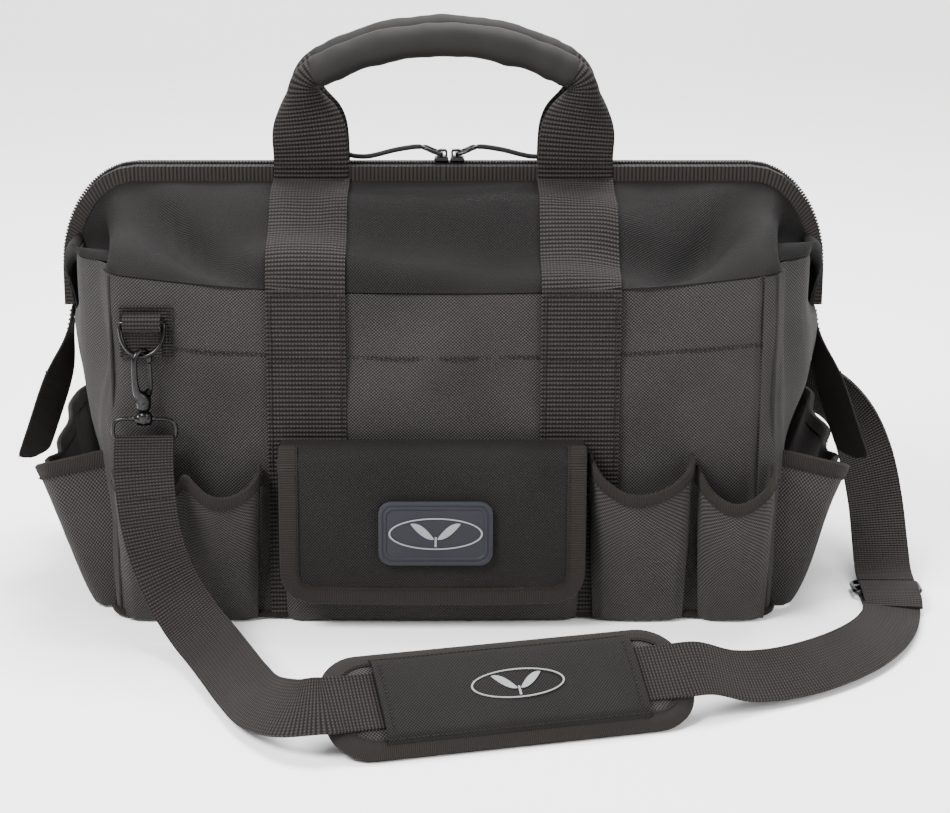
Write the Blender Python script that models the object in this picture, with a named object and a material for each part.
"""Wide-mouth garden tool bag: soft body, outer pockets, flap, wire mouth frame, zip, handles and strap."""

import math

import bmesh
import bpy
from mathutils import Vector

# Driving dimensions, in metres. X is the bag's length, -Y its front, and Z = 0 the surface it stands on.
BODY_LENGTH = 0.436
BODY_DEPTH = 0.230
SEAM_Z = 0.228  # top edge of the upright walls
WALL = 0.004  # padded wall
CLOTH = 0.0018  # single layer of pocket or top cloth
GAP = 0.0003  # between pieces that touch
END_BULGE = 0.018  # how far the end walls stand out at mid-depth

ZIP_Z = 0.285  # top of the closed mouth
MOUTH_HALF = 0.207  # half of the mouth frame's straight top
CORNER_REACH = 0.051  # frame corner, along X
CORNER_DROP = 0.070  # frame corner, along Z
PIVOT_Z = 0.190
ROD_RADIUS = 0.0020

WEBBING_WIDTH = 0.0508
WEBBING_X = 0.0885  # handle webbing's centre lines
WEBBING = 0.0019  # thickness of handle webbing
STRAP_WIDTH = 0.038
STRAP = 0.0022

POCKET_FACE = BODY_DEPTH / 2 + 0.0025  # pockets start outside the handle webbing
POCKET_RIM = 0.104
SIDE_RIM = 0.096

FLAP_WIDTH = 0.197
FLAP_TOP = 0.127
FLAP_BOTTOM = 0.021
FLAP_X = -0.007

HANDLE_Y = 0.0168
GRIP_Y = 0.0215
GRIP_CHORD = 0.182
GRIP_END_Z = 0.345
GRIP_RISE = 0.026
GRIP_RADIUS = 0.0105

RING_X = 0.193  # rings, hooks and the strap's ends
RING_TOP = 0.2040
RING_FACE = 0.1215  # distance of the ring's wire from the bag's middle plane
RING_WIRE = 0.0013
HOOK_FACE = 0.1262

PAD_CENTRE = Vector((0.038, -0.300, 0.0195))
PAD_LENGTH = 0.222
PAD_WIDTH = 0.068
PAD_THICK = 0.0080
PAD_TURN = math.radians(15)
PAD_TILT = math.radians(35)  # the pad stands on its front edge and leans back
SLEEVE_LENGTH = 0.160

FINISHES = {
    "polyester": ((0.028, 0.027, 0.027), 0.85, 0.0),
    "polyester_dark": ((0.016, 0.015, 0.015), 0.9, 0.0),
    "webbing": ((0.032, 0.028, 0.026), 0.9, 0.0),
    "binding": ((0.036, 0.028, 0.024), 0.85, 0.0),
    "grip_cloth": ((0.020, 0.019, 0.019), 0.8, 0.0),
    "board": ((0.05, 0.05, 0.05), 0.7, 0.0),
    "steel": ((0.10, 0.10, 0.105), 0.3, 1.0),
    "gunmetal": ((0.055, 0.055, 0.06), 0.28, 1.0),
    "zip_teeth": ((0.02, 0.02, 0.02), 0.5, 0.0),
    "patch": ((0.045, 0.047, 0.055), 0.55, 0.0),
    "pad_foam": ((0.026, 0.025, 0.025), 0.9, 0.0),
}

PIVOTS = {}


def clear_scene():
    for obj in list(bpy.data.objects):
        bpy.data.objects.remove(obj, do_unlink=True)


def material(name):
    made = bpy.data.materials.get(name)
    if made:
        return made
    colour, roughness, metallic = FINISHES[name]
    made = bpy.data.materials.new(name)
    made.use_nodes = True
    shader = made.node_tree.nodes["Principled BSDF"]
    shader.inputs["Base Color"].default_value = (*colour, 1)
    shader.inputs["Roughness"].default_value = roughness
    shader.inputs["Metallic"].default_value = metallic
    return made


def pivot(name, place, parent=None):
    """An empty on a joint's axis, for the pieces that turn or slide there."""
    empty = bpy.data.objects.new(name, None)
    empty.empty_display_size = 0.02
    bpy.context.collection.objects.link(empty)
    PIVOTS[name] = Vector(place)
    empty.location = PIVOTS[name]
    if parent:
        empty.parent = bpy.data.objects[parent]
        empty.location = PIVOTS[name] - PIVOTS[parent]


def finish_object(obj, finish, body=None):
    """Gives an object, made in world coordinates, its material and the empty that it moves with."""
    obj.data.materials.append(material(finish))
    bpy.context.collection.objects.link(obj)
    if body:
        obj.parent = bpy.data.objects[body]
        obj.location = -PIVOTS[body]
    return obj


def solid(name, points, faces, finish, body=None, smooth=True):
    mesh = bpy.data.meshes.new(name)
    mesh.from_pydata([tuple(p) for p in points], [], faces)
    work = bmesh.new()
    work.from_mesh(mesh)
    bmesh.ops.recalc_face_normals(work, faces=work.faces)
    work.to_mesh(mesh)
    work.free()
    if smooth:
        mesh.shade_smooth()
        mesh.set_sharp_from_angle(angle=math.radians(40))
    return finish_object(bpy.data.objects.new(name, mesh), finish, body)


def grid_normals(rows):
    """Unit normals of a grid of points, from its neighbours along and across."""
    last_row, last_col = len(rows) - 1, len(rows[0]) - 1
    normals = []
    for i, row in enumerate(rows):
        line = []
        for j in range(len(row)):
            along = row[min(j + 1, last_col)] - row[max(j - 1, 0)]
            across = rows[min(i + 1, last_row)][j] - rows[max(i - 1, 0)][j]
            line.append(along.cross(across).normalized())
        normals.append(line)
    return normals


def cloth_panel(name, rows, thickness, finish, body=None):
    """A closed sheet whose one face is the grid and whose thickness goes against the grid's normals."""
    rows = [[Vector(p) for p in row] for row in rows]
    normals = grid_normals(rows)
    count, width = len(rows), len(rows[0])
    points = [p for row in rows for p in row]
    for row, line in zip(rows, normals):
        points += [p - n * thickness for p, n in zip(row, line)]
    half = count * width
    faces = []
    for i in range(count - 1):
        for j in range(width - 1):
            a = i * width + j
            faces.append((a, a + 1, a + width + 1, a + width))
            faces.append((half + a, half + a + width, half + a + width + 1, half + a + 1))
    rim = list(range(width))
    rim += [i * width + width - 1 for i in range(1, count)]
    rim += [(count - 1) * width + j for j in range(width - 2, -1, -1)]
    rim += [i * width for i in range(count - 2, 0, -1)]
    for a, b in zip(rim, rim[1:] + rim[:1]):
        faces.append((a, half + a, half + b, b))
    return solid(name, points, faces, finish, body)


def sweep(name, sections, finish, body=None, closed=False, smooth=True):
    """Joins cross-sections with equal numbers of points into one solid, capped unless it is a closed ring."""
    width = len(sections[0])
    points = [p for section in sections for p in section]
    faces = []
    for i in range(len(sections) if closed else len(sections) - 1):
        j = (i + 1) % len(sections)
        for k in range(width):
            m = (k + 1) % width
            faces.append((i * width + k, i * width + m, j * width + m, j * width + k))
    if not closed:
        faces.append(tuple(range(width)))
        faces.append(tuple((len(sections) - 1) * width + k for k in range(width)))
    return solid(name, points, faces, finish, body, smooth)


def plate(name, outline, low, high, finish, body=None, axis=2):
    """An outline of (a, b) points extruded along one axis, from low to high."""
    def place(a, b, c):
        spot = [a, b]
        spot.insert(axis, c)
        return Vector(spot)

    sections = [[place(a, b, level) for a, b in outline] for level in (low, high)]
    return sweep(name, sections, finish, body, smooth=False)


def rounded_rectangle(x0, y0, x1, y1, radius, steps=3):
    corners = ((x1, y1, 0), (x0, y1, 1), (x0, y0, 2), (x1, y0, 3))
    outline = []
    for x, y, quarter in corners:
        cx = x - radius if x == x1 else x + radius
        cy = y - radius if y == y1 else y + radius
        for step in range(steps + 1):
            turn = math.pi / 2 * (quarter + step / steps)
            outline.append((cx + radius * math.cos(turn), cy + radius * math.sin(turn)))
    return outline


def smooth_line(points, steps):
    """A Catmull-Rom curve through the points, with this many steps between each two."""
    points = [Vector(p) for p in points]
    ends = [2 * points[0] - points[1]] + points + [2 * points[-1] - points[-2]]
    line = []
    for a, b, c, d in zip(ends, ends[1:], ends[2:], ends[3:]):
        for step in range(steps):
            t = step / steps
            line.append(0.5 * (2 * b + (c - a) * t + (2 * a - 5 * b + 4 * c - d) * t * t
                               + (3 * b - a - 3 * c + d) * t ** 3))
    return line + [points[-1]]


def wire(name, points, radius, finish, body=None, closed=False, radii=None, resolution=1):
    """A round wire along points: a curve object with a bevel and filled caps."""
    curve = bpy.data.curves.new(name, "CURVE")
    curve.dimensions = "3D"
    curve.bevel_depth = radius
    curve.bevel_resolution = resolution
    curve.use_fill_caps = not closed
    spline = curve.splines.new("POLY")
    spline.points.add(len(points) - 1)
    for index, (spot, place) in enumerate(zip(spline.points, points)):
        spot.co = (*place, 1)
        spot.radius = radii[index] / radius if radii else 1
    spline.use_cyclic_u = closed
    spline.use_smooth = True
    return finish_object(bpy.data.objects.new(name, curve), finish, body)


def mirrored(points, back):
    """Points for the front, or the same turned half round Z for the back."""
    turn = -1 if back else 1
    return [Vector((p[0] * turn, p[1] * turn, p[2])) for p in points]


def make_walls():
    """The upright body: bottom, stiffening board, front, back and the two ends."""
    half_length, half_depth = BODY_LENGTH / 2, BODY_DEPTH / 2
    base = rounded_rectangle(-half_length + 0.005, -half_depth + 0.005,
                             half_length - 0.005, half_depth - 0.005, 0.012)
    plate("bottom_panel", base, 0.0, WALL, "polyester_dark")
    board = rounded_rectangle(-half_length + 0.014, -half_depth + 0.014,
                              half_length - 0.014, half_depth - 0.014, 0.010)
    plate("base_board", board, WALL + GAP, WALL + GAP + 0.0025, "board")
    for name, side in (("front_panel", -1), ("back_panel", 1)):
        outline = rounded_rectangle(-half_length, 0.0, half_length, SEAM_Z, 0.004, 1)
        inner, outer = half_depth - WALL, half_depth
        low, high = sorted((side * inner, side * outer))
        plate(name, outline, low, high, "polyester", axis=1)
    for name, side in (("left_end_panel", -1), ("right_end_panel", 1)):
        make_end_panel(name, side)


def end_reach(y, z):
    """How far the outer face of an end wall stands from the middle plane."""
    across = 1 - (2 * y / BODY_DEPTH) ** 2
    up = min(1.0, 0.15 + z / 0.13)
    narrow = min(1.0, max(0.0, (z - 0.150) / 0.078))
    return BODY_LENGTH / 2 + END_BULGE * across * up * (1 - 0.6 * narrow)


def make_end_panel(name, side):
    half_depth = BODY_DEPTH / 2 - WALL - GAP
    rows = []
    for i in range(9):
        z = SEAM_Z * i / 8
        across = [-half_depth + 2 * half_depth * j / 12 for j in range(13)]
        rows.append([(side * end_reach(y, z), side * y, z) for y in across])
    cloth_panel(name, rows, WALL, "polyester")


def mouth_outline(inset, steps=7):
    """Half of the mouth's outline in (x, z), from the middle of the top down to the pivot."""
    top = ZIP_Z - inset
    line = [(MOUTH_HALF * i / 4, top) for i in range(4)]
    for step in range(steps + 1):
        turn = math.pi / 2 * (1 - step / steps)
        line.append((MOUTH_HALF + (CORNER_REACH - inset) * math.cos(turn),
                     ZIP_Z - CORNER_DROP + (CORNER_DROP - inset) * math.sin(turn)))
    line.append((MOUTH_HALF + CORNER_REACH - inset, PIVOT_Z))
    return line


def whole_outline(inset):
    half = mouth_outline(inset)
    return [(-x, z) for x, z in reversed(half)] + half[1:]


def mouth_strip(name, side, near, far, outer, inner, finish, body):
    """A rectangular bar that follows the mouth, between two insets and two distances from Y = 0."""
    sections = []
    for (x0, z0), (x1, z1) in zip(whole_outline(outer), whole_outline(inner)):
        sections.append([Vector((x0, side * near, z0)), Vector((x0, side * far, z0)),
                         Vector((x1, side * far, z1)), Vector((x1, side * near, z1))])
    sweep(name, sections, finish, body)


def make_tape(side, body, name):
    """Zip tape: a flat part beside the teeth and a ribbed binding that is turned down outside the frame."""
    near, fold, far = 0.0034, 0.0108, 0.0124
    outlines = [whole_outline(inset) for inset in (0.0, 0.0014, 0.0115)]
    sections = []
    for outer, under, low in zip(*outlines):
        profile = ((near, outer), (far, outer), (far, low), (fold, low), (fold, under), (near, under))
        sections.append([Vector((p[0], side * y, p[1])) for y, p in profile])
    sweep(name, sections, "binding", body)


def make_mouth(front):
    """One half of the mouth: its wire frame, zip tape and row of teeth."""
    side = -1 if front else 1
    word = "front" if front else "back"
    body = f"mouth_{word}"
    rod = [(x, side * 0.0072, z) for x, z in whole_outline(0.0066)]
    wire(f"frame_{word}_rod", rod, ROD_RADIUS, "steel", body)
    make_tape(side, body, f"zip_tape_{word}")
    mouth_strip(f"zip_chain_{word}", side, GAP, 0.0030, -0.0010, 0.0012, "zip_teeth", body)


def make_rivets():
    for name, side in (("left_pivot_rivet", -1), ("right_pivot_rivet", 1)):
        x = side * (MOUTH_HALF + CORNER_REACH - 0.0066)
        sections = []
        for reach, radius in ((-0.0035, 0.0034), (-0.0022, 0.0034), (-0.0022, 0.002),
                              (0.0022, 0.002), (0.0022, 0.0034), (0.0032, 0.0028)):
            turns = [2 * math.pi * k / 10 for k in range(10)]
            sections.append([Vector((x + reach, radius * math.cos(t), PIVOT_Z - 0.009 + radius * math.sin(t)))
                             for t in turns])
        sweep(name, sections, "steel")


def make_zip_end(name, side):
    """The closed tail of the zip that hangs from the pivot, widening into a pointed tab."""
    line = [(0.258, 0.1795), (0.259, 0.168), (0.264, 0.152), (0.271, 0.128), (0.279, 0.104), (0.287, 0.082)]
    widths = [0.018, 0.019, 0.022, 0.027, 0.028, 0.012]
    across = (-0.5, -0.17, 0.17, 0.5)
    rows = [[(side * x, side * w * t, z) for t in across] for (x, z), w in zip(line, widths)]
    cloth_panel(name, rows, 0.0020, "binding")


def make_top_panel(name, side):
    """Sloping top cloth from the body's top edge to the zip tape."""
    rows = []
    for i in range(7):
        up = i / 6
        y = BODY_DEPTH / 2 + (0.0128 - BODY_DEPTH / 2) * up
        z = SEAM_Z + GAP + 0.002 + (0.2712 - SEAM_Z - 0.002) * up + 0.006 * math.sin(math.pi * up)
        reach = BODY_LENGTH / 2 + (MOUTH_HALF - 0.002 - BODY_LENGTH / 2) * up
        rows.append([(side * reach * (j / 6 - 1), side * y, z) for j in range(13)])
    cloth_panel(name, rows, -CLOTH, "polyester")


def make_gusset(name, side):
    """End cloth folded inwards between the body's corners and the zip, as a shallow V seen from above."""
    rows = []
    corner_x, tuck_x, zip_x = BODY_LENGTH / 2 - 0.004, BODY_LENGTH / 2 - 0.014, 0.2425
    for i in range(5):
        up = i / 4
        reach = 1 - 0.72 * up
        z = SEAM_Z + 0.0035 + 0.024 * up
        line = []
        for j in range(9):
            t = j / 4 - 1
            fold = math.sin(math.pi * abs(t))
            x = zip_x + (corner_x - zip_x) * abs(t) + (tuck_x - corner_x) * fold * 0.6
            line.append((side * (x - 0.006 * up), side * t * reach * (BODY_DEPTH / 2 - 0.006), z))
        rows.append(line)
    cloth_panel(name, rows, CLOTH, "polyester_dark")


def make_pocket(name, x0, x1, depth, rim, back=False, dip=0.012):
    """An open pocket: cloth that leaves the wall at both sides, deep at the rim and flat at the foot."""
    rows = []
    corner = 0.007
    for i in range(6):
        up = i / 5
        out = 0.0045 + (depth - 0.0045) * up
        inset = 0.004 * (1 - up)
        left, right = x0 + inset, x1 - inset
        plan = [(left, 0.0), (left, out - corner * up - 0.001), (left + corner, out)]
        inner = 5
        plan += [(left + corner + (right - left - 2 * corner) * k / inner, out) for k in range(1, inner)]
        plan += [(right - corner, out), (right, out - corner * up - 0.001), (right, 0.0)]
        line = []
        for x, reach in plan:
            middle = 1 - abs(2 * (x - x0) / (x1 - x0) - 1)
            z = 0.0015 + (rim - 0.0015 - dip * min(1.0, 1.5 * middle)) * up
            line.append((x, -(POCKET_FACE + reach), z))
        rows.append(mirrored(line, back))
    cloth_panel(name, rows, CLOTH, "polyester")


def make_side_pocket(name, side):
    """Bellows pocket on an end wall, with a gusset at each side and a foot that is pulled in."""
    rows = []
    for i in range(6):
        up = i / 5
        out = 0.012 + 0.031 * up
        near = BODY_LENGTH / 2 + 0.0085
        plan = [(near, -0.101), (near + out - 0.006, -0.100), (near + out, -0.092), (near + out, -0.046),
                (near + out, 0.0)]
        plan += [(x, -y) for x, y in reversed(plan[:-1])]
        line = []
        for x, y in plan:
            middle = 1 - abs(y) / 0.101
            narrow = 0.90 + 0.10 * up
            line.append((side * x, side * y * narrow, 0.0015 + (SIDE_RIM - 0.010 * middle) * up))
        rows.append(line)
    cloth_panel(name, rows, CLOTH, "polyester")


def make_pockets():
    make_pocket("front_left_pocket", -0.214, -0.119, 0.023, POCKET_RIM + 0.004)
    make_pocket("front_centre_pocket", -0.107, 0.092, 0.018, POCKET_RIM + 0.010, dip=0.004)
    make_pocket("front_right_pocket", 0.095, 0.162, 0.021, POCKET_RIM + 0.002)
    make_pocket("front_corner_pocket", 0.165, 0.216, 0.021, POCKET_RIM)
    make_pocket("back_left_pocket", 0.003, 0.214, 0.019, POCKET_RIM, back=True)
    make_pocket("back_right_pocket", -0.214, -0.003, 0.019, POCKET_RIM, back=True)
    make_side_pocket("left_side_pocket", -1)
    make_side_pocket("right_side_pocket", 1)


def make_body_webbing():
    """Four runs of handle webbing, sewn to the walls from the foot to the body's top edge."""
    for word, side in (("front", -1), ("back", 1)):
        for turn, x in (("left", -WEBBING_X), ("right", WEBBING_X)):
            near = BODY_DEPTH / 2 + GAP
            low, high = sorted((side * near, side * (near + WEBBING)))
            left, right = x - WEBBING_WIDTH / 2, x + WEBBING_WIDTH / 2
            outline = rounded_rectangle(left, 0.003, right, SEAM_Z - 0.001, 0.0005, 1)
            plate(f"{word}_{turn}_webbing", outline, low, high, "webbing", axis=1)


def make_flap():
    """The centre pocket's flap, which leaves the wall above the pocket and hangs in front of it."""
    half = FLAP_WIDTH / 2
    profile = [(0.1186, FLAP_TOP - 0.0012), (0.1225, FLAP_TOP), (0.1300, FLAP_TOP - 0.0008),
               (0.1385, FLAP_TOP - 0.004), (0.1412, FLAP_TOP - 0.011)]
    drop = 6
    profile += [(0.1412 + 0.001 * math.sin(math.pi * k / drop), FLAP_TOP - 0.011
                 + (FLAP_BOTTOM - FLAP_TOP + 0.011) * k / drop) for k in range(1, drop + 1)]
    rows = []
    for y, z in profile:
        lift = max(0.0, (FLAP_BOTTOM + 0.020 - z) / 0.020)
        reach = half - 0.020 * (1 - math.sqrt(max(0.0, 1 - lift ** 2)))
        rows.append([(FLAP_X + reach * (k / 5 - 1), -y, z) for k in range(11)])
    cloth_panel("pocket_flap", rows, -CLOTH, "polyester", "flap_hinge")
    patch = rounded_rectangle(FLAP_X + 0.002 - 0.037, 0.0485, FLAP_X + 0.002 + 0.037, 0.0915, 0.007)
    plate("flap_patch", patch, -0.1465, -0.1444, "patch", "flap_hinge", axis=1)


def handle_line():
    """Half of a handle in (x, z), outer end first: up the leg, then along the grip's arc to the middle."""
    chord = GRIP_CHORD / 2
    radius = (chord ** 2 + GRIP_RISE ** 2) / (2 * GRIP_RISE)
    legs = [(0.0885, 0.2862), (0.0890, 0.300), (0.0900, 0.315), (0.0915, 0.329), (0.0935, 0.339)]
    centre = GRIP_END_Z + GRIP_RISE - radius
    start = math.asin(chord / radius)
    arc = [(radius * math.sin(start * (1 - k / 9)), centre + radius * math.cos(start * (1 - k / 9)))
           for k in range(10)]
    return legs, arc


def handle_place(z, side):
    """How far the handle leans out from its foot on the zip tape to the grip."""
    up = min(1.0, (z - 0.2862) / 0.055)
    return side * (HANDLE_Y + (GRIP_Y - HANDLE_Y) * up)


def make_handle(word, side):
    body = f"{word}_handle_hinge"
    legs, arc = handle_line()
    half = [(x, z, WEBBING_WIDTH * f, 0.0022 + 0.0085 * (1 - f))
            for (x, z), f in zip(legs, (1.0, 0.92, 0.76, 0.55, 0.34))]
    half += [(x, z, 0.0060, 0.0110) for x, z in arc[1:]]
    line = [(-x, z, a, b) for x, z, a, b in half] + [(x, z, a, b) for x, z, a, b in reversed(half[:-1])]
    sections = []
    for index, (x, z, wide, thick) in enumerate(line):
        before, after = line[max(index - 1, 0)], line[min(index + 1, len(line) - 1)]
        along = Vector((after[0] - before[0], 0, after[1] - before[1])).normalized()
        across = Vector((along.z, 0, -along.x))
        middle = Vector((x, handle_place(z, side), z))
        out = Vector((0, 1, 0))
        ring = ((0.5, 0.3), (0.35, 0.5), (-0.35, 0.5), (-0.5, 0.3), (-0.5, -0.3), (-0.35, -0.5),
                (0.35, -0.5), (0.5, -0.3))
        sections.append([middle + across * wide * u + out * thick * v for u, v in ring])
    sweep(f"{word}_handle_loop", sections, "webbing", body)
    make_grip(word, side, arc, body)


def make_grip(word, side, arc, body):
    """Padded sleeve round the middle of a handle, hollow for the webbing."""
    line = [(-x, z) for x, z in arc[:-1]] + [(x, z) for x, z in reversed(arc)]
    line = line[1:-1]
    rows = []
    for index, (x, z) in enumerate(line):
        before, after = line[max(index - 1, 0)], line[min(index + 1, len(line) - 1)]
        along = Vector((after[0] - before[0], 0, after[1] - before[1])).normalized()
        across = Vector((along.z, 0, -along.x))
        ends = min(index, len(line) - 1 - index)
        rows.append((Vector((x, side * GRIP_Y, z)), across, GRIP_RADIUS * (0.93 if ends == 0 else 1.0)))
    sides = 14
    turns = [2 * math.pi * k / sides for k in range(sides)]

    def ring(row, radius):
        middle, across, _ = row
        deep = Vector((0, 1, 0))
        return [middle + across * radius * math.cos(t) + deep * radius * math.sin(t) for t in turns]

    outer = [ring(row, row[2]) for row in rows]
    inner = [ring(row, 0.0075) for row in reversed(rows)]
    sweep(f"{word}_grip", outer + inner, "grip_cloth", body, closed=True)


def make_ring(word, back):
    """Sewn tab whose top fold holds a D-ring's straight bar."""
    outline = [(-0.1155 - GAP, 0.1865), (-0.1155 - GAP, 0.196), (-0.1160, 0.2015), (-0.1172, 0.2062),
               (-0.1205, 0.2080), (-0.1238, 0.2062), (-0.1243, 0.2030), (-0.1228, 0.2005)]
    turns = smooth_line([(0, y, z) for y, z in outline], 2)
    sections = []
    for index, middle in enumerate(turns):
        along = turns[min(index + 1, len(turns) - 1)] - turns[max(index - 1, 0)]
        out = Vector((0, along.z, -along.y)).normalized() * 0.0008
        section = [middle + Vector((x, 0, 0)) + out * s for x, s in
                   ((-RING_X - 0.0115, -1), (-RING_X + 0.0115, -1), (-RING_X + 0.0115, 1),
                    (-RING_X - 0.0115, 1))]
        sections.append(mirrored([p - Vector((0, 0.0008, 0)) for p in section], back))
    sweep(f"{word}_ring_tab", sections, "webbing")
    half_bar, drop = 0.0142, 0.0209
    ring = [Vector((half_bar * (k / 3 - 1), 0, 0)) for k in range(7)]
    for step in range(1, 12):
        turn = math.pi * step / 12
        ring.append(Vector((half_bar * math.cos(turn), (RING_FACE - HOOK_FACE) * math.sin(turn),
                            -drop * math.sin(turn) ** 0.8)))
    middle = Vector((-RING_X, -RING_FACE, RING_TOP))
    wire(f"{word}_d_ring", mirrored([middle + p for p in ring], back), RING_WIRE, "gunmetal",
         f"{word}_ring_hinge", closed=True)


def hook_point(u, z):
    """A point in the snap hook's own plane, which is turned half-way between the bag's front and its side."""
    turn = math.pi / 4
    return Vector((-RING_X + u * math.cos(turn), -HOOK_FACE + u * math.sin(turn), z))


def make_hook(word, back):
    """Snap hook: spine and bow in one casting, a sprung gate, and a wire eye that the strap loops round."""
    bow = [(0, 0.1478, 0.0040), (0, 0.1500, 0.0046), (0, 0.1535, 0.0050), (-0.0030, 0.1575, 0.0040),
           (-0.0058, 0.1615, 0.0024), (-0.0064, 0.1670, 0.0020), (-0.0064, 0.1760, 0.0019)]
    for step in range(1, 7):
        turn = math.pi * (1 - step / 7)
        bow.append((0.0062 * math.cos(turn) - 0.0002, 0.1805 + 0.0066 * math.sin(turn), 0.0018))
    bow.append((0.0058, 0.1798, 0.0016))
    points = mirrored([hook_point(u, z) for u, z, _ in bow], back)
    wire(f"{word}_hook", points, 0.002, "gunmetal", f"{word}_hook_swivel",
         radii=[r for _, _, r in bow], resolution=2)
    gate = [hook_point(0.0056, 0.1605), hook_point(0.0058, 0.1700), hook_point(0.0058, 0.1778)]
    wire(f"{word}_hook_gate", mirrored(gate, back), 0.0014, "gunmetal", f"{word}_gate_hinge")
    eye = [(0.0, 0.1418, 0.0044), (0.0042, 0.1418, 0.0044), (0.0048, 0.1418, 0.0012),
           (0.0140, 0.1416, 0.0012), (0.0190, 0.1396, 0.0012), (0.0205, 0.1350, 0.0012),
           (0.0192, 0.1300, 0.0012), (0.0165, 0.1280, 0.0012)]
    line = eye + [(0.0, 0.1280, 0.0012)] + [(-x, z, r) for x, z, r in reversed(eye[1:])]
    points = mirrored([Vector((-RING_X + x, -HOOK_FACE, z)) for x, z, _ in line], back)
    wire(f"{word}_hook_eye", points, 0.0012, "gunmetal", closed=True, radii=[r for _, _, r in line])


def make_slider(word, side):
    """Zip slider with an open bridge on top, its wire pull and the flat cord on the pull."""
    inner = 0.0040 + side * GAP
    outer = inner + side * 0.0100

    def reach(part):
        return inner + (outer - inner) * part

    outline = [(reach(0), 0.2864), (reach(1), 0.2864), (reach(1), 0.2890), (reach(0.88), 0.2903),
               (reach(0.2), 0.2903), (reach(0.2), 0.2932), (reach(0.78), 0.2932), (reach(0.82), 0.2922),
               (reach(0.92), 0.2925), (reach(0.86), 0.2944), (reach(0.12), 0.2944), (reach(0), 0.2930)]
    width = [0.0042 if z < 0.2904 else 0.0014 for _, z in outline]
    sections = [[Vector((x, w * s, z)) for (x, z), w in zip(outline, width)] for s in (-1, 1)]
    sweep(f"{word}_slider", sections, "gunmetal", f"{word}_slider_rail", smooth=False)
    bar = reach(0.5)
    loop = [(0, -0.0040), (0, 0.0), (0, 0.0040), (0.006, 0.0046), (0.0105, 0.0036), (0.0128, 0.0),
            (0.0105, -0.0036), (0.006, -0.0046)]
    wire(f"{word}_pull_ring", [Vector((bar + side * x, y, 0.29175)) for x, y in loop], 0.0008, "gunmetal",
         f"{word}_pull_hinge", closed=True)
    tail = [(0.0160, 0.0), (0.0230, 0.0014), (0.0320, 0.0006), (0.0420, -0.0018), (0.0520, -0.0028),
            (0.0580, -0.0024)]
    route = smooth_line([(bar + side * x, 0.0, 0.2919 + z) for x, z in tail], 2)
    sections = [[p + Vector((0, y, z)) for y, z in ((-0.0016, -0.0008), (0.0016, -0.0008), (0.0016, 0.0008),
                                                    (-0.0016, 0.0008))] for p in route]
    sweep(f"{word}_pull_cord", sections, "grip_cloth", f"{word}_pull_hinge")


# Routes of the free webbing: centre line and the direction of its width.
STRAP_ROUTE = [
    ((-0.1930, -0.1297, 0.1290), (1, 0, 0)),
    ((-0.1925, -0.1415, 0.1160), (1, 0, 0)),
    ((-0.1905, -0.1500, 0.0940), (1, -0.05, 0.05)),
    ((-0.1870, -0.1530, 0.0720), (0.98, -0.08, 0.12)),
    ((-0.1800, -0.1570, 0.0500), (0.93, -0.10, 0.28)),
    ((-0.1700, -0.1680, 0.0330), (0.86, 0.00, 0.42)),
    ((-0.1570, -0.1880, 0.0220), (0.80, 0.10, 0.50)),
    ((-0.1440, -0.2140, 0.0180), (0.74, 0.25, 0.53)),
    ((-0.1320, -0.2440, 0.0165), (0.68, 0.40, 0.53)),
    ((-0.1210, -0.2740, 0.0165), (0.60, 0.52, 0.54)),
    ((-0.1090, -0.3040, 0.0185), (0.45, 0.65, 0.57)),
    ((-0.0920, -0.3285, 0.0245), (0.20, 0.78, 0.58)),
    ((-0.0745, -0.3365, 0.0290), (-0.08, 0.80, 0.575)),
    ((-0.0570, -0.3317, 0.0281), (-0.212, 0.791, 0.574)),
    ((-0.0184, -0.3213, 0.0281), (-0.212, 0.791, 0.574)),
    ((0.0396, -0.3058, 0.0281), (-0.212, 0.791, 0.574)),
    ((0.0975, -0.2903, 0.0281), (-0.212, 0.791, 0.574)),
    ((0.1361, -0.2799, 0.0281), (-0.212, 0.791, 0.574)),
    ((0.1580, -0.2730, 0.0275), (-0.25, 0.79, 0.56)),
    ((0.1820, -0.2630, 0.0185), (-0.30, 0.78, 0.55)),
    ((0.2080, -0.2500, 0.0150), (-0.36, 0.76, 0.52)),
    ((0.2350, -0.2310, 0.0140), (-0.48, 0.70, 0.48)),
    ((0.2600, -0.2050, 0.0130), (-0.62, 0.60, 0.42)),
    ((0.2790, -0.1740, 0.0110), (-0.78, 0.45, 0.33)),
    ((0.2920, -0.1400, 0.0080), (-0.90, 0.28, 0.22)),
    ((0.2990, -0.1080, 0.0045), (-0.97, 0.10, 0.10)),
    ((0.3015, -0.0870, 0.0022), (-1, 0, 0)),
    ((0.3020, -0.0640, 0.0018), (-1, 0, 0)),
]
ADJUSTER_ROUTE = [
    ((0.3020, -0.0660, 0.0090), (1, 0, 0)),
    ((0.3025, -0.0480, 0.0120), (1, 0, 0)),
    ((0.3035, -0.0250, 0.0240), (1, 0, 0.10)),
    ((0.3040, 0.0060, 0.0460), (0.92, 0.10, 0.35)),
    ((0.3015, 0.0360, 0.0680), (0.75, 0.20, 0.60)),
    ((0.2950, 0.0680, 0.0860), (0.45, 0.10, 0.85)),
    ((0.2830, 0.1000, 0.0960), (0.10, 0.0, 1.0)),
    ((0.2580, 0.1300, 0.1000), (-0.05, 0.0, 1.0)),
    ((0.2290, 0.1450, 0.1030), (0.40, 0.0, 0.85)),
    ((0.2030, 0.1420, 0.1130), (0.92, 0.0, 0.35)),
    ((0.1930, 0.1305, 0.1290), (1, 0, 0)),
]


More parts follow.
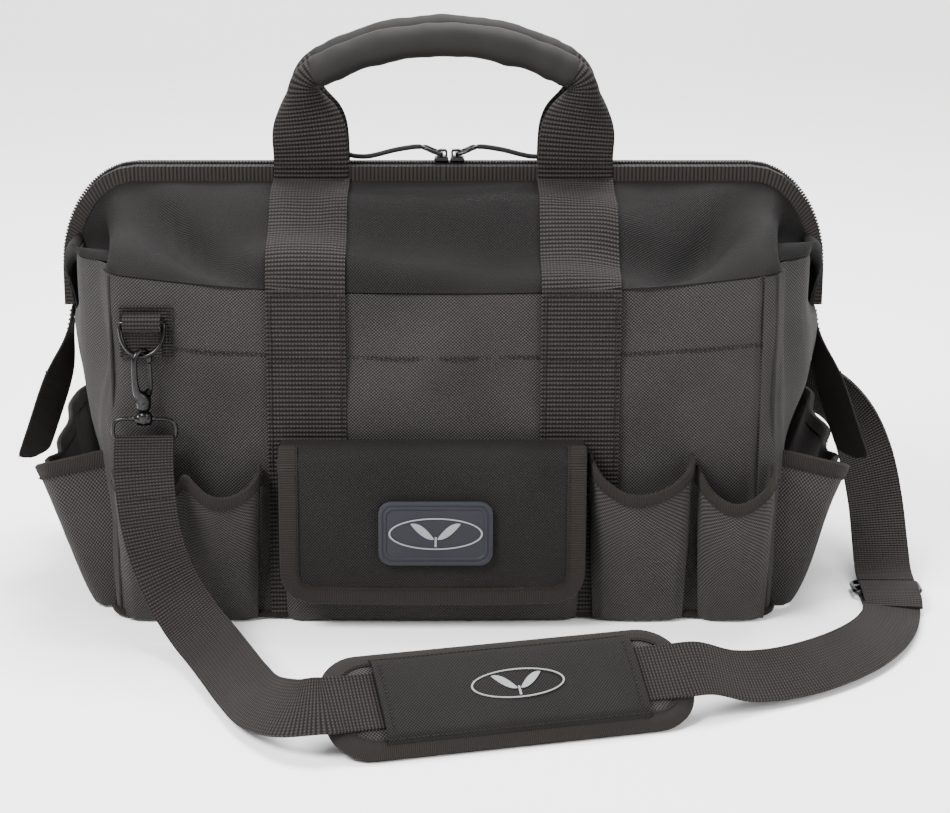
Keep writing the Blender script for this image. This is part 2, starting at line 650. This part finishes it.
def ribbon(name, route, width, thickness, finish):
    """Flat webbing along a route of points, each with the direction of the webbing's width."""
    centres = smooth_line([place for place, _ in route], 3)
    widths = smooth_line([Vector(across).normalized() for _, across in route], 3)
    sections = []
    for index, middle in enumerate(centres):
        along = (centres[min(index + 1, len(centres) - 1)] - centres[max(index - 1, 0)]).normalized()
        across = widths[index] - along * widths[index].dot(along)
        across = across.normalized() * width / 2
        out = along.cross(across).normalized() * thickness / 2
        sections.append([middle + across + out, middle - across + out,
                         middle - across - out, middle + across - out])
    sweep(name, sections, finish)


def on_pad(u, v, h):
    """A place on the shoulder pad: u along it, v across it and h out from its underside."""
    along = Vector((math.cos(PAD_TURN), math.sin(PAD_TURN), 0))
    level = Vector((-math.sin(PAD_TURN), math.cos(PAD_TURN), 0))
    across = level * math.cos(PAD_TILT) + Vector((0, 0, math.sin(PAD_TILT)))
    out = Vector((0, 0, math.cos(PAD_TILT))) - level * math.sin(PAD_TILT)
    return PAD_CENTRE + along * u + across * v + out * h


def make_shoulder_pad():
    outline = rounded_rectangle(-PAD_LENGTH / 2, -PAD_WIDTH / 2, PAD_LENGTH / 2, PAD_WIDTH / 2, 0.024, 5)
    faces = [[on_pad(u, v, h) for u, v in outline] for h in (GAP, GAP + PAD_THICK)]
    sweep("shoulder_pad", faces, "pad_foam", smooth=False)
    foot = 2 * GAP + PAD_THICK
    profile = [(-0.0275, foot), (-0.0275, 0.0128), (-0.0235, 0.0142), (0.0235, 0.0142), (0.0275, 0.0128),
               (0.0275, foot), (0.0235, foot), (0.0225, 0.0123), (-0.0225, 0.0123), (-0.0235, foot)]
    sections = []
    for step in range(9):
        u = SLEEVE_LENGTH * (step / 8 - 0.5)
        sections.append([on_pad(u, v, h) for v, h in profile])
    sweep("pad_sleeve", sections, "polyester")


def round_bar(points, radius, closed, sides=8):
    """Cross-sections of a round bar that lies in a horizontal plane."""
    sections = []
    last = len(points) - 1
    for index, middle in enumerate(points):
        before = points[index - 1] if closed else points[max(index - 1, 0)]
        after = points[(index + 1) % len(points)] if closed else points[min(index + 1, last)]
        along = (after - before).normalized()
        across = along.cross(Vector((0, 0, 1))).normalized()
        turns = [2 * math.pi * k / sides for k in range(sides)]
        sections.append([middle + Vector((0, 0, radius * math.sin(t))) + across * radius * math.cos(t)
                         for t in turns])
    return sections


def make_tri_glide():
    """Wire tri-glide: a flat loop with a middle bar, joined into one casting."""
    middle = Vector((0.302, -0.066, 0.0048))
    corners = rounded_rectangle(-0.0225, -0.0105, 0.0225, 0.0105, 0.004, 3)
    loop = round_bar([middle + Vector((x, y, 0)) for x, y in corners], 0.0014, True)
    glide = sweep("tri_glide", loop, "gunmetal", closed=True)
    bar = round_bar([middle + Vector((x, 0.0002, 0)) for x in (-0.0222, 0.0, 0.0222)], 0.0012, False)
    rod = sweep("tri_glide_middle_bar", bar, "gunmetal")
    rod.hide_render = True
    rod.display_type = "WIRE"
    union = glide.modifiers.new("middle bar", "BOOLEAN")
    union.operation = "UNION"
    union.object = rod


def make_pivots():
    """The empties on the joints' axes."""
    pivot("mouth_front", (0, 0, PIVOT_Z))
    pivot("mouth_back", (0, 0, PIVOT_Z))
    pivot("flap_hinge", (FLAP_X, -0.1185, FLAP_TOP - 0.0005))
    for word, side in (("front", -1), ("back", 1)):
        pivot(f"{word}_handle_hinge", (0, side * HANDLE_Y, 0.2862), f"mouth_{word}")
        pivot(f"{word}_ring_hinge", (side * RING_X, side * RING_FACE, RING_TOP))
        pivot(f"{word}_hook_swivel", (side * RING_X, side * HOOK_FACE, 0.1478))
        gate = hook_point(0.0056, 0.1605)
        pivot(f"{word}_gate_hinge", (-side * gate.x, -side * gate.y, gate.z), f"{word}_hook_swivel")
    for word, side in (("left", -1), ("right", 1)):
        pivot(f"{word}_slider_rail", (0.0040 + side * 0.005, 0, 0.2864), "mouth_front")
        pivot(f"{word}_pull_hinge", (0.0040 + side * (GAP + 0.005), 0, 0.29175), f"{word}_slider_rail")


def main():
    clear_scene()
    make_pivots()
    make_walls()
    make_mouth(front=True)
    make_mouth(front=False)
    make_rivets()
    make_zip_end("left_zip_end", -1)
    make_zip_end("right_zip_end", 1)
    make_top_panel("front_top_panel", -1)
    make_top_panel("back_top_panel", 1)
    make_gusset("left_gusset", -1)
    make_gusset("right_gusset", 1)
    make_pockets()
    make_body_webbing()
    make_flap()
    for word, side in (("front", -1), ("back", 1)):
        make_handle(word, side)
        make_ring(word, word == "back")
        make_hook(word, word == "back")
    make_slider("left", -1)
    make_slider("right", 1)
    ribbon("strap_webbing", STRAP_ROUTE, STRAP_WIDTH, STRAP, "webbing")
    ribbon("strap_adjuster", ADJUSTER_ROUTE, STRAP_WIDTH, 0.0034, "webbing")
    make_tri_glide()
    make_shoulder_pad()


main()
